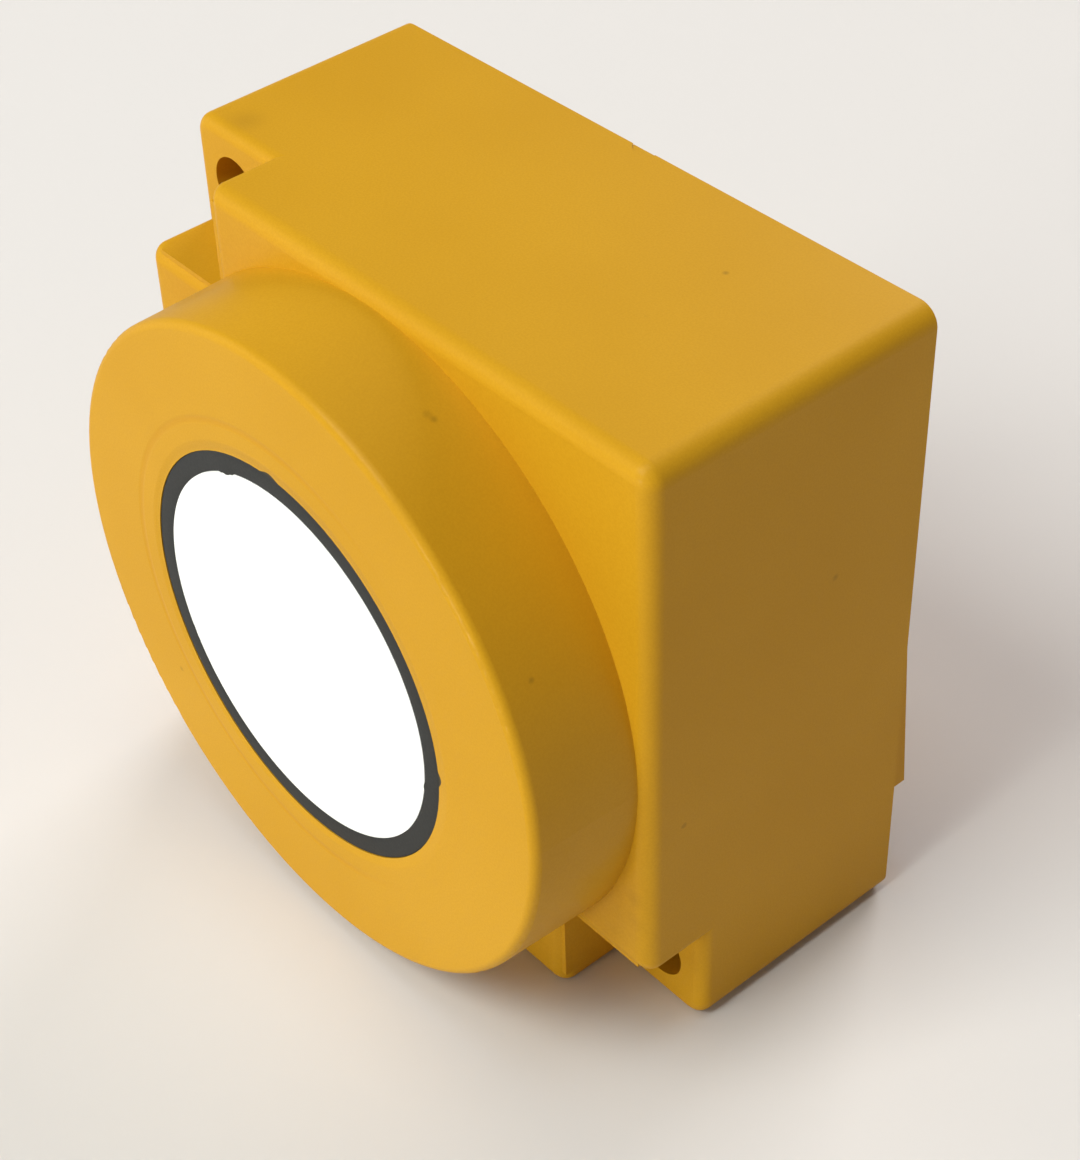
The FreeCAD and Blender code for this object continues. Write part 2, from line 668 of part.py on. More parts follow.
def make_electronics():
    left = "-0.5 * board_half_width"
    core = brick("transformer_core", left, "0.45 * board_half_height", "bobbin_thick",
                 "core_width", "core_height", "core_thick", False)
    bobbin = brick("transformer_bobbin", left, "0.45 * board_half_height", "0",
                   "bobbin_width", "bobbin_height", "bobbin_thick", False)
    joined("driver_transformer", [core, bobbin])
    cans = [rod("can_a", "0.42 * board_half_width", "0.55 * board_half_height", "board_seat",
                "can_radius", "can_length"),
            rod("can_b", "0.42 * board_half_width", "-0.55 * board_half_height", "board_seat",
                "can_radius", "can_length")]
    joined("storage_capacitors", cans)
    brick("shield_can", left, "-0.5 * board_half_height", "0",
          "shield_width", "shield_height", "shield_thick", False)
    brick("microcontroller", left, "0.27 * board_half_height", "0",
          "controller_side", "controller_side", "controller_thick", True)
    brick("quartz_crystal", left, "-0.32 * board_half_height", "0",
          "crystal_width", "crystal_height", "crystal_thick", True)
    brick("voltage_regulator", "0.5 * board_half_width", "-0.6 * board_half_height", "0",
          "regulator_width", "regulator_height", "regulator_thick", True)
    brick("pin_terminal", "0", "0", "0",
          "terminal_width", "terminal_height", "terminal_thick", True)
    brick("status_led", "pipe_x", "pipe_z", "0", "led_width", "led_height", "led_thick", True)
    chips = []
    for i, (across, up) in enumerate([(0.18, 0.55), (0.18, 0.36), (0.35, 0.36), (0.35, 0.18),
                                      (-0.84, -0.09), (-0.84, -0.27), (0.77, -0.18), (0.77, 0)]):
        chips.append(brick("chip%d" % i, "%s * board_half_width" % across,
                           "%s * board_half_height" % up, "0",
                           "chip_width", "chip_height", "chip_thick", True))
    joined("chip_parts", chips)


# The rear cover, its gasket and the connector that it carries
def make_cover():
    body = new_body("rear_cover")
    slope = "tan(cover_tilt * 1deg)"
    low = "(cover_flush + cover_half) * %s" % slope
    high = "(cover_flush - cover_half) * %s" % slope
    wedge = new_sketch(body, "wedge", plane="YZ_Plane", offset="-cover_half")
    loop(wedge, [("-cover_edge", "-cover_half"), (low, "-cover_half"), (high, "cover_half"),
                 ("-cover_edge", "cover_half")])
    pad(body, wedge, "2 * cover_half")
    ears = new_sketch(body, "ears", offset="-10")
    box_loop(ears, "-half_side", "-cover_corner", "cover_corner", "half_side")
    box_loop(ears, "cover_corner", "half_side", "-half_side", "-cover_corner")
    pocket(body, ears, "30", forwards=True)

    inner_low = "(cover_flush + core_out) * %s - cover_wall" % slope
    inner_high = "(cover_flush - core_out) * %s - cover_wall" % slope
    core = new_sketch(body, "core", plane="YZ_Plane")
    loop(core, [("-cover_edge", "-core_out"), (inner_low, "-core_out"),
                (inner_high, "core_out"), ("-cover_edge", "core_out")])
    pocket(body, core, "2 * (cover_corner - cover_land)", both=True)
    for side, place in (("left", "-0.6 * cover_corner"), ("right", "0.6 * cover_corner")):
        rib = new_sketch(body, "rib_" + side, plane="YZ_Plane", offset=place)
        loop(rib, [("-cover_edge", "-core_out - 0.5"), (inner_low + " + 0.5", "-core_out - 0.5"),
                   (inner_high + " + 0.5", "core_out + 0.5"), ("-cover_edge", "core_out + 0.5")])
        wall = pad(body, rib, "cover_rib")
        wall.Midplane = True

    seat = new_sketch(body, "nut_seat", offset="cover_edge")
    ring(seat, "0", "0", "seat_radius")
    pad(body, seat, "cover_edge + seat_height", backwards=True)
    hole = new_sketch(body, "plug_hole", offset="cover_edge")
    ring(hole, "0", "0", "panel_radius + fit_gap")
    pocket(body, hole, "30")
    groove = new_sketch(body, "seal_groove", offset="cover_edge")
    ring(groove, "0", "0", "seal_outer + fit_gap")
    pocket(body, groove, "seal_thick")

    wells = new_sketch(body, "screw_wells", offset="head_seat")
    ring(wells, "boss_far", "boss_far", "screw_head + 0.3")
    ring(wells, "boss_far", "-boss_near", "screw_head + 0.3")
    first = pocket(body, wells, "20")
    around(body, [first], "2")
    holes = new_sketch(body, "screw_holes", offset="cover_edge")
    ring(holes, "boss_far", "boss_far", "hole_radius")
    ring(holes, "boss_far", "-boss_near", "hole_radius")
    second = pocket(body, holes, "cover_edge")
    around(body, [second], "2")
    pipe = new_sketch(body, "pipe_hole", offset="cover_edge")
    ring(pipe, "pipe_x", "pipe_z", "pipe_radius + fit_gap")
    pocket(body, pipe, "20")
    # A half-round tab fills the notch in the housing's edge, flush with the rear plane
    tab = new_sketch(body, "tab", plane="XY_Plane", offset="half_side - tab_drop")
    ring(tab, "0", "pry_radius - pry_depth", "pry_radius - 2 * fit_gap")
    pad(body, tab, "tab_length", backwards=True)
    proud = new_sketch(body, "tab_proud")
    box_loop(proud, "-pry_radius", "pry_radius", "half_side - tab_drop - tab_length - 1", "half_side")
    pocket(body, proud, "2 * pry_radius")
    return body


def make_gasket():
    body = new_body("cover_gasket")
    band = new_sketch(body, "band", offset="cover_edge")
    stepped_square(band, "cover_half", "cover_corner")
    stepped_square(band, "cavity_half", "ledge_corner")
    pad(body, band, "gasket_thick")
    eyes = new_sketch(body, "eyes", offset="cover_edge")
    ring(eyes, "boss_far", "boss_far", "cover_boss_radius")
    ring(eyes, "boss_far", "-boss_near", "cover_boss_radius")
    first = pad(body, eyes, "gasket_thick")
    around(body, [first], "2")
    holes = new_sketch(body, "eye_holes", offset="cover_edge")
    ring(holes, "boss_far", "boss_far", "hole_radius")
    ring(holes, "boss_far", "-boss_near", "hole_radius")
    second = pocket(body, holes, "gasket_thick", forwards=True)
    around(body, [second], "2")
    return body


def make_connector():
    shell = turned_part("connector_shell", [
        ("plug_bore", "-plug_reach"), ("plug_radius - 0.5", "-plug_reach"),
        ("plug_radius", "-plug_reach + 0.5"), ("plug_radius", "-panel_reach"),
        ("panel_radius", "-panel_reach"), ("panel_radius", "cover_edge"),
        ("plug_flange", "cover_edge"), ("plug_flange", "shell_front"),
        ("plug_bore", "shell_front")])
    insert = turned_part("connector_insert", [
        ("0", "well_floor"), ("plug_bore - fit_gap", "well_floor"),
        ("plug_bore - fit_gap", "insert_front"), ("0", "insert_front")])
    places = new_sketch(insert, "pin_hole", offset="insert_front")
    ring(places, "pin_circle * cos(45deg)", "pin_circle * sin(45deg)", "pin_radius + fit_gap")
    first = pocket(insert, places, "insert_front - well_floor")
    around(insert, [first], "pin_count")

    pins = new_body("connector_pins")
    pin = new_sketch(pins, "pin", offset="-plug_reach + pin_short")
    ring(pin, "pin_circle * cos(45deg)", "pin_circle * sin(45deg)", "pin_radius")
    first = pad(pins, pin, "plug_reach - pin_short + insert_front + pin_tail")
    around(pins, [first], "pin_count")

    turned_part("connector_seal", [
        ("panel_radius + fit_gap", "cover_edge - seal_thick"),
        ("seal_outer", "cover_edge - seal_thick"),
        ("seal_outer", "cover_edge"), ("panel_radius + fit_gap", "cover_edge")])

    nut = new_body("connector_nut")
    outline = new_sketch(nut, "outline", offset="-seat_height")
    hexagon(outline, "0", "0", "nut_flat")
    ring(outline, "0", "0", "panel_radius + fit_gap")
    pad(nut, outline, "nut_thick", backwards=True)

    pipe_top = "(cover_flush - pipe_z) * tan(cover_tilt * 1deg)"
    rod("led_window", "pipe_x", "pipe_z", "-(%s)" % pipe_top, "pipe_radius",
        "%s + board_rear - led_thick - led_gap" % pipe_top)
    return shell


def make_leads():
    """Two straight leads from the ceramic disc to the board."""
    front = new_body("transducer_leads")
    section = new_sketch(front, "section", offset="board_seat")
    ring(section, "-lead_spread", "0", "lead_radius")
    ring(section, "lead_spread", "0", "lead_radius")
    pad(front, section, "face_rear - piezo_thick - board_seat")


make_housing()
make_frame()
make_transducer()
make_clamp()
make_screws("clamp_screws", [("clamp_circle", "0")], "clamp_rear", "screw_length", "3")
make_board()
make_screws("board_screws", [("post_x", "post_z"), ("post_x", "-post_z")],
            "board_rear", "screw_length", "2")
make_electronics()
make_cover()
make_gasket()
make_screws("cover_screws", [("boss_far", "boss_far"), ("boss_far", "-boss_near")],
            "head_seat", "cover_screw_length", "2", socket=True)
make_connector()
make_leads()
doc.recompute()

NODES = [
    "housing", "inner_frame", "transducer_face", "decoupling_ring", "transducer_cup", "piezo_disc",
    "backing_absorber", "transducer_clamp", "clamp_screws", "main_board", "board_screws",
    "driver_transformer", "storage_capacitors", "microcontroller", "quartz_crystal",
    "voltage_regulator", "shield_can", "pin_terminal", "chip_parts", "status_led",
    "rear_cover", "cover_gasket", "cover_screws", "connector_shell", "connector_insert",
    "connector_pins", "connector_seal", "connector_nut", "led_window", "transducer_leads",
]

# Every object has to be sound before anything is written
for thing in doc.Objects:
    if "Invalid" in thing.State or "Error" in thing.State:
        raise RuntimeError("object failed: " + thing.Name)
for name in NODES:
    shape = doc.getObject(name).Shape
    if shape.isNull() or not shape.isValid() or not shape.Solids:
        raise RuntimeError("no sound solid: " + name)

os.makedirs("parts", exist_ok=True)
for name in NODES:
    node = doc.getObject(name)
    node.Shape.exportStep("parts/%s.step" % node.Label)
    print(name, len(node.Shape.Solids), round(node.Shape.Volume, 1))
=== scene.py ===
# %% [markdown]
# # A square ultrasonic sensor
# The sensor is one yellow moulding: a square block, a round drum in front of it for the
# sound, and two notched corners for its mounting screws. The solids come from the CAD
# model and are loaded as they are. This lesson gives them their finishes, adds the fine
# pieces that CAD leaves plain, and sets up a camera and lights like the photograph's.

# %% load the solids
import math

import bmesh
import bpy
from mathutils import Matrix, Vector


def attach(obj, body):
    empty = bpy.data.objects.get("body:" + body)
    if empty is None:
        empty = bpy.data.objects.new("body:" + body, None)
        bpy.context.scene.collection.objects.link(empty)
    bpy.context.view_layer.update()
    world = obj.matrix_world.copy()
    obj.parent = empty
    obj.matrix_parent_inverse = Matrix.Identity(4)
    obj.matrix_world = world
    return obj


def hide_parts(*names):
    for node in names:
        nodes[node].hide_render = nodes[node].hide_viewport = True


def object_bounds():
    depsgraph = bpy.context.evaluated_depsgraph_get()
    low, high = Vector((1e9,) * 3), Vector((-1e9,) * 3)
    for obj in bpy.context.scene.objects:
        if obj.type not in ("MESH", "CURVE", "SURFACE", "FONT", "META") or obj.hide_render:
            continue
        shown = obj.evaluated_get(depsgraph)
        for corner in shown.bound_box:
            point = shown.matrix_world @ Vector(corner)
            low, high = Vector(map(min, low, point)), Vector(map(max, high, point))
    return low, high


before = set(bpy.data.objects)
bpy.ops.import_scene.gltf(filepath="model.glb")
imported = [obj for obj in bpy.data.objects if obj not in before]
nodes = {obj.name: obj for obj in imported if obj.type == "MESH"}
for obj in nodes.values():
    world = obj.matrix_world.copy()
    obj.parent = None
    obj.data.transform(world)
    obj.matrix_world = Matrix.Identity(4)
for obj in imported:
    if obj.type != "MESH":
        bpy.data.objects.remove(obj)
cad_low, cad_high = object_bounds()
scene = bpy.context.scene

MM = 0.001
SAME_POINT = 1e-6  # metres: points nearer to each other than this are merged
print("nodes:", len(nodes), "box in mm:", [round(v / MM, 1) for v in (*cad_low, *cad_high)])

# %% [markdown]
# ## The camera
# The photograph was taken from above and to the right of the sensor's front. The place
# and the three directions of the camera were fitted to the sensor's outline, so they are
# written as numbers. A matrix whose columns are the camera's right, up and back
# directions turns it in one step, which is easier to check than three angles. The lens
# is given in pixels of a picture that is 1080 wide and 1160 high.

# %% camera
RIGHT = Vector((0.632512, 0.772540, -0.055772))
UP = Vector((-0.469269, 0.439504, 0.765914))
BACK = RIGHT.cross(UP)
PLACE = Vector((0.16144, -0.15194, 0.17378))
SENSOR_WIDTH, PICTURE_HEIGHT, FOCAL_PIXELS = 36.0, 1160.0, 2469.7
LENS_SHIFT, CLIP = (0.10, -0.0366), (0.01, 20.0)

optics = bpy.data.cameras.new("camera")
optics.sensor_width = SENSOR_WIDTH
optics.lens = SENSOR_WIDTH * FOCAL_PIXELS / PICTURE_HEIGHT
optics.shift_x, optics.shift_y = LENS_SHIFT
optics.clip_start, optics.clip_end = CLIP
camera = bpy.data.objects.new("camera", optics)
turn = Matrix((RIGHT, UP, BACK)).transposed().to_4x4()
camera.matrix_world = Matrix.Translation(PLACE) @ turn
scene.collection.objects.link(camera)
scene.camera = camera
print("lens:", round(optics.lens, 2), "mm")

# %% [markdown]
# ## Floor and light
# The photograph is a cut-out on white with soft light from the front above. A pale round
# floor that bends up into a wall far away gives a calm, pale ground from every side, with
# no sharp horizon. One broad lamp does most of the work and draws the wide, soft gloss on
# the rounded edges. One overhead brightens the drum's upper side. A small lamp straight in
# front lifts the shadow under the drum and puts the thin bright line on its rim. Weaker
# lamps at the side and back and a dim sky keep the shaded sides from going black.

# %% sky
SKY_COLOUR, SKY_STRENGTH = (1.0, 0.93, 0.84, 1.0), 0.05
scene.view_settings.view_transform = "Standard"
world = bpy.data.worlds.new("studio")
scene.world = world
world.use_nodes = True
sky = world.node_tree.nodes["Background"]
sky.inputs["Color"].default_value = SKY_COLOUR
sky.inputs["Strength"].default_value = SKY_STRENGTH
print("sky strength:", SKY_STRENGTH)

# %% lamps
LOOK_AT = Vector((0.0, -0.02, 0.0))
WHITE_LIGHT = (1.0, 1.0, 1.0)
# Each lamp has a name, a place and a width in metres, its watts and its tint.
LAMPS = (
    ("key_lamp", (-0.20, -1.20, 1.45), 0.95, 27.5, (0.94, 1.0, 0.95)),
    ("top_lamp", (0.0, -0.2, 1.95), 0.9, 9.0, WHITE_LIGHT),
    ("front_lamp", (0.05, -1.70, 0.15), 0.3, 9.0, (0.95, 1.0, 0.88)),
    ("side_lamp", (-1.3, -0.9, 0.5), 0.9, 4.0, WHITE_LIGHT),
    ("back_lamp", (-0.6, 1.6, 0.8), 0.9, 21.0, WHITE_LIGHT),
)
for name, place, width, watts, tint in LAMPS:
    light = bpy.data.lights.new(name, "AREA")
    light.shape, light.size, light.energy, light.color = "SQUARE", width, watts, tint
    lamp = bpy.data.objects.new(name, light)
    lamp.location = place
    lamp.rotation_mode = "QUATERNION"
    lamp.rotation_quaternion = (LOOK_AT - Vector(place)).to_track_quat("-Z", "Y")
    scene.collection.objects.link(lamp)
print("lamps:", len(LAMPS), "with", sum(watts for *_, watts, _ in LAMPS), "watts")

# %% floor
FLOOR_RADIUS, WALL_HEIGHT, BEND, FLOOR_STEPS = 3.4, 3.5, 1.2, 96
FLOOR_GAP = 0.0001  # keeps the floor just clear of the sensor's underside
PAPER_COLOUR, PAPER_ROUGHNESS = (0.72, 0.68, 0.665, 1.0), 0.9
bend = [(FLOOR_RADIUS - BEND + BEND * math.sin(angle), BEND - BEND * math.cos(angle))
        for angle in (math.radians(degrees) for degrees in range(0, 91, 10))]
bm = bmesh.new()
points = [bm.verts.new((x, 0.0, z)) for x, z in [(0.0, 0.0), *bend, (FLOOR_RADIUS, WALL_HEIGHT)]]
edges = [bm.edges.new(pair) for pair in zip(points, points[1:])]
bmesh.ops.spin(bm, geom=points + edges, cent=(0.0, 0.0, 0.0), axis=(0.0, 0.0, 1.0),
               angle=2.0 * math.pi, steps=FLOOR_STEPS, use_merge=True)
bmesh.ops.remove_doubles(bm, verts=bm.verts, dist=SAME_POINT)
bmesh.ops.translate(bm, verts=bm.verts, vec=(0.0, 0.0, cad_low.z - FLOOR_GAP))
bm.normal_update()
if sum(face.normal.z * face.calc_area() for face in bm.faces) < 0.0:
    bmesh.ops.reverse_faces(bm, faces=bm.faces)
for face in bm.faces:
    face.smooth = True
floor_mesh = bpy.data.meshes.new("floor")
bm.to_mesh(floor_mesh)
bm.free()
paper = bpy.data.materials.new("paper")
paper.use_nodes = True
sheet = paper.node_tree.nodes["Principled BSDF"]
sheet.inputs["Base Color"].default_value = PAPER_COLOUR
sheet.inputs["Roughness"].default_value = PAPER_ROUGHNESS
floor_mesh.materials.append(paper)
floor = bpy.data.objects.new("floor", floor_mesh)
scene.collection.objects.link(floor)
print("floor at", round(cad_low.z / MM, 2), "mm, faces:", len(floor_mesh.polygons))

# %% [markdown]
# ## Shader maths as Python
# A finish is a small graph of nodes. Written out one by one it is hard to read, so a
# socket is wrapped in a class whose +, - and * add the Math nodes. Everything else,
# such as noise or a bump, comes from one method that makes a node of any type.

# %% a socket that can be used in sums
class Amount:
    def __init__(self, finish, socket):
        self.finish, self.socket = finish, socket

    def sum_of(self, operation, *terms):
        return self.finish.node("ShaderNodeMath", {"operation": operation},
                                dict(enumerate(terms)))

    def __add__(self, other):
        return self.sum_of("ADD", self, other)

    __radd__ = __add__

    def __sub__(self, other):
        return self.sum_of("SUBTRACT", self, other)

    def __mul__(self, other):
        return self.sum_of("MULTIPLY", self, other)

    __rmul__ = __mul__

    def __abs__(self):
        return self.sum_of("ABSOLUTE", self)


# %% a finish and its nodes
class Finish:
    def __init__(self, name, **fixed):
        self.material = bpy.data.materials.new(name)
        self.material.use_nodes = True
        self.tree = self.material.node_tree
        self.shader = self.tree.nodes["Principled BSDF"]
        self.place = self.node("ShaderNodeTexCoord", out="Object")
        for key, amount in fixed.items():
            self.shader.inputs[key.replace("_", " ")].default_value = amount

    def node(self, kind, settings=None, values=None, out=0):
        """Any node: its settings first, then the values or links of its sockets."""
        made = self.tree.nodes.new(kind)
        for key, setting in (settings or {}).items():
            setattr(made, key, setting)
        for key, given in (values or {}).items():
            self.feed(made.inputs[key], given)
        return Amount(self, made.outputs[out])

    def feed(self, socket, given):
        if isinstance(given, Amount):
            self.tree.links.new(given.socket, socket)
        else:
            socket.default_value = given

    def set(self, **varying):
        for key, given in varying.items():
            self.feed(self.shader.inputs[key.replace("_", " ")], given)
        return self

    def noise(self, per_metre, detail=2.0, rough=0.5, place=None):
        return self.node("ShaderNodeTexNoise", None,
                         {"Vector": place or self.place, "Scale": per_metre,
                          "Detail": detail, "Roughness": rough})

    def band(self, amount, low, high, to_low=0.0, to_high=1.0):
        """A soft step from low to high."""
        return self.node("ShaderNodeMapRange", {"interpolation_type": "SMOOTHSTEP"},
                         {"Value": amount, "From Min": low, "From Max": high,
                          "To Min": to_low, "To Max": to_high})

    def mix(self, factor, first, second):
        """From the first colour at factor 0 to the second at factor 1."""
        return self.node("ShaderNodeMix", {"data_type": "RGBA"},
                         {0: factor, 6: first, 7: second}, out=2)

    def bump(self, height, distance, strength, normal=None):
        values = {"Height": height, "Distance": distance, "Strength": strength}
        if normal is not None:
            values["Normal"] = normal
        return self.node("ShaderNodeBump", None, values)

    def axis(self, letter):
        return self.node("ShaderNodeSeparateXYZ", None, {0: self.place}, out=letter)

    def off_axis(self):
        """Distance from the sensor's centre line, which is the Y axis."""
        flat = self.node("ShaderNodeVectorMath", {"operation": "MULTIPLY"},
                         {0: self.place, 1: (1.0, 0.0, 1.0)})
        return self.node("ShaderNodeVectorMath", {"operation": "LENGTH"}, {0: flat}, out="Value")

    def near(self, centre, radius):
        """1 at a point of the surface, fading to 0 at the radius, both in millimetres."""
        gap = self.node("ShaderNodeVectorMath", {"operation": "DISTANCE"},
                        {0: self.place, 1: tuple(c / 1000.0 for c in centre)}, out="Value")
        return self.band(gap, 0.0, radius / 1000.0, to_low=1.0, to_high=0.0)


# %% colours
def linear(red, green, blue):
    """A colour as read from a picture, 0 to 255, as the linear colour that Blender mixes."""
    def one(c):
        c /= 255.0
        return c / 12.92 if c <= 0.04045 else ((c + 0.055) / 1.055) ** 2.4
    return (one(red), one(green), one(blue), 1.0)


def brighter(colour, factor):
    """The same colour with its three channels multiplied by a factor."""
    return tuple(c * factor for c in colour[:3]) + (1.0,)


print("middle grey is", round(linear(128, 128, 128)[0], 3), "as a linear colour")

# %% [markdown]
# ## The yellow moulding
# The housing is a filled plastic, moulded in one piece in a warm traffic yellow. Its mould
# was lightly spark-eroded, so the skin has a fine grain that spreads the gloss. Used
# sensors also carry slow changes of tone, tiny dark specks and a few rubbed spots. Grain
# is a bump of fine noise, and the rest are soft masks that tint one base colour.

# %% marks on the moulding
# Each mark is a place on the skin in millimetres, its radius, and how dark it is.
MARKS = (
    ((-34.0, -26.3, 40.0), 3.2, 0.14), ((15.4, -41.2, 35.1), 0.6, 0.35),
    ((14.7, -41.4, 35.4), 0.7, 0.22), ((33.9, -46.0, 17.7), 0.5, 0.35),
    ((38.0, -37.0, -15.6), 1.8, 0.10), ((38.2, -37.0, -19.2), 1.8, 0.08),
    ((12.0, -48.0, -35.6), 0.8, 0.4), ((22.0, -10.0, 40.0), 0.5, 0.4),
    ((40.0, -12.0, 14.0), 0.6, 0.3), ((-24.0, -50.0, -18.0), 0.5, 0.3),
)
# The two nicks in the bore's edge, with their radii, in millimetres too.
UPPER_NICK, RIGHT_NICK = ((-0.4, -50.0, 23.9), 1.8), ((23.9, -50.0, -0.1), 1.3)
# The rest is in metres. From the centre line: the bore, its soft edge, the turned line.
BORE, SOFT_EDGE, TURNED_LINE = 0.0238, 0.0252, 0.0274
# The line is full up to its core and gone at its reach. Its painted shade, the shade of its small
# step, fades from left to right.
LINE_CORE, LINE_REACH, LINE_SHADE_LEFT, LINE_SHADE_RIGHT = 0.0001, 0.0006, 0.002, 0.018
# A nick widens the bore by its depth, and its own edge is soft over a tenth of a millimetre.
NICK_DEPTH, NICK_EDGE = 0.0005, 0.0239
# What lies between these places along Y fades into the drum's face.
FACE_BEHIND, FACE_FRONT = -0.0494, -0.0498
print("marks:", len(MARKS))


# %% yellow plastic
def yellow_plastic():
    paint = Finish("yellow_plastic", IOR=1.5, Specular_IOR_Level=0.09,
                   Coat_Weight=0.05, Coat_Roughness=0.16)
    cloud = paint.noise(per_metre=26.0, detail=3.0)
    grain = paint.noise(per_metre=4200.0, rough=0.6)
    specks = paint.noise(per_metre=520.0, detail=1.0)
    base = paint.mix(paint.band(cloud, 0.3, 0.7), linear(204, 151, 30), linear(198, 145, 25))
    grainy = paint.band(grain, 0.35, 0.65, to_high=0.3)
    colour = paint.mix(grainy, base, linear(187, 132, 18))
    dark = paint.band(specks, 0.80, 0.86, to_high=0.25)
    for centre, size, depth in MARKS:
        dark = dark + paint.near(centre, size) * depth
    colour = paint.mix(dark, colour, linear(92, 62, 16))
    # On the drum's face: a fine turned line, tinted with painted shade of its small step, and the
    # soft edge of the bore inside it.
    radius = paint.off_axis()
    face = paint.band(paint.axis("Y"), FACE_BEHIND, FACE_FRONT)
    # Painted shade: full on the left of the drum's face and faint on the right, as light falls on
    # the line's step.
    line_shade_side = paint.band(paint.axis("X"), LINE_SHADE_RIGHT, LINE_SHADE_LEFT, to_low=0.1)
    line_and_shade = paint.band(abs(radius - TURNED_LINE), LINE_CORE, LINE_REACH, to_low=1.0, to_high=0.0)
    line_and_shade = line_and_shade * face * line_shade_side
    sunk = paint.band(radius, BORE, SOFT_EDGE, to_low=1.0, to_high=0.0) * face
    # The line's darker tint is painted shade of its small step, strongest on the left; the same
    # mask also raises the step's bump.
    colour = paint.mix(line_and_shade * 0.3, colour, linear(192, 130, 10))
    # In the nicks a little black rubber shows.
    nick = radius - NICK_DEPTH * (paint.near(*UPPER_NICK) + paint.near(*RIGHT_NICK))
    nick = paint.band(nick, BORE, NICK_EDGE, to_low=1.0, to_high=0.0) * face
    colour = paint.mix(nick, colour, linear(52, 46, 34))
    skin = paint.bump(grain, distance=0.00003, strength=0.3)
    normal = paint.bump(-0.2 * line_and_shade - sunk, distance=0.0004, strength=0.6, normal=skin)
    rough = 0.40 + 0.10 * cloud + 0.06 * grain
    return paint.set(Base_Color=colour, Roughness=rough, Normal=normal)


YELLOW = yellow_plastic()
print("nodes in the yellow finish:", len(YELLOW.tree.nodes))

# %% [markdown]
# ## The other finishes
# Each of the inner and outer parts has its own material: a white matching layer, a black
# rubber ring, metals, a green board and dark moulded chips. They share the same tools and
# differ in grain, gloss and tone.

# %% plain families
def white_layer():
    paint = Finish("white_layer", IOR=1.5, Specular_IOR_Level=0.35)
    cloud = paint.noise(per_metre=60.0, detail=3.0)
    grain = paint.noise(per_metre=2600.0)
    colour = paint.mix(paint.band(cloud, 0.3, 0.7), (0.93, 0.93, 0.925, 1), (0.90, 0.90, 0.89, 1))
    return paint.set(Base_Color=colour, Roughness=0.5 + 0.1 * grain,
                     Normal=paint.bump(grain, distance=0.00002, strength=0.3))


def soft_rubber(name, shade):
    paint = Finish(name, IOR=1.5, Specular_IOR_Level=0.4)
    cloud = paint.noise(per_metre=90.0, detail=3.0)
    grain = paint.noise(per_metre=3200.0)
    colour = paint.mix(paint.band(cloud, 0.35, 0.7), shade, brighter(shade, 1.35))
    return paint.set(Base_Color=colour, Roughness=0.55 + 0.15 * grain,
                     Normal=paint.bump(grain, distance=0.00003, strength=0.4))


def dark_plastic(name, shade):
    paint = Finish(name, IOR=1.5, Specular_IOR_Level=0.45)
    grain = paint.noise(per_metre=3600.0)
    cloud = paint.noise(per_metre=120.0)
    colour = paint.mix(paint.band(cloud, 0.3, 0.7), shade, brighter(shade, 1.5))
    return paint.set(Base_Color=colour, Roughness=0.42 + 0.15 * grain,
                     Normal=paint.bump(grain, distance=0.00002, strength=0.4))


def bare_metal(name, shade, rough, stretch=(1.0, 1.0, 1.0)):
    """Fine lines, which the stretch packs closer along an axis, over slow duller patches."""
    paint = Finish(name, Metallic=1.0)
    drawn = paint.node("ShaderNodeMapping", None, {"Vector": paint.place, "Scale": stretch})
    lines = paint.noise(per_metre=1500.0, rough=0.6, place=drawn)
    cloud = paint.noise(per_metre=150.0, detail=3.0)
    colour = paint.mix(paint.band(cloud, 0.35, 0.7), shade, brighter(shade, 0.8))
    return paint.set(Base_Color=colour, Roughness=rough + 0.12 * lines,
                     Normal=paint.bump(lines, distance=0.00002, strength=0.35))


WHITE = white_layer()
RING_RUBBER = soft_rubber("ring_rubber", linear(27, 28, 28))
SEAL_RUBBER = soft_rubber("seal_rubber", linear(38, 40, 42))
ABSORBER = soft_rubber("absorber_foam", linear(112, 112, 114))
LEAD_SLEEVE = soft_rubber("lead_sleeve", linear(120, 124, 128))
FRAME_PLASTIC = dark_plastic("frame_plastic", linear(50, 50, 53))
CHIP_RESIN = dark_plastic("chip_resin", linear(42, 42, 44))
STEEL = bare_metal("steel", linear(205, 205, 208), 0.28)
ALUMINIUM = bare_metal("aluminium", linear(214, 215, 218), 0.32, stretch=(1.0, 4.0, 1.0))
NICKEL = bare_metal("nickel", linear(205, 200, 190), 0.22)
GOLD = bare_metal("gold", linear(224, 182, 96), 0.18)
print("materials so far:", len(bpy.data.materials))


# %% board, ceramic and lens
def board_lacquer():
    paint = Finish("board_lacquer", IOR=1.5)
    lines = paint.node("ShaderNodeTexBrick", {"offset": 0.5},
                       {"Vector": paint.place, "Scale": 260.0, "Mortar Size": 0.03}, out=1)
    cloud = paint.noise(per_metre=120.0)
    base = paint.mix(cloud, linear(18, 92, 58), linear(24, 110, 70))
    colour = paint.mix(lines * 0.5, base, linear(44, 138, 88))
    return paint.set(Base_Color=colour, Roughness=0.3 + 0.1 * cloud,
                     Normal=paint.bump(lines, distance=0.00003, strength=0.5))


def ceramic():
    paint = Finish("ceramic", IOR=1.6)
    grain = paint.noise(per_metre=2200.0)
    colour = paint.mix(grain, linear(196, 192, 180), linear(212, 208, 198))
    return paint.set(Base_Color=colour, Roughness=0.5 + 0.1 * grain)


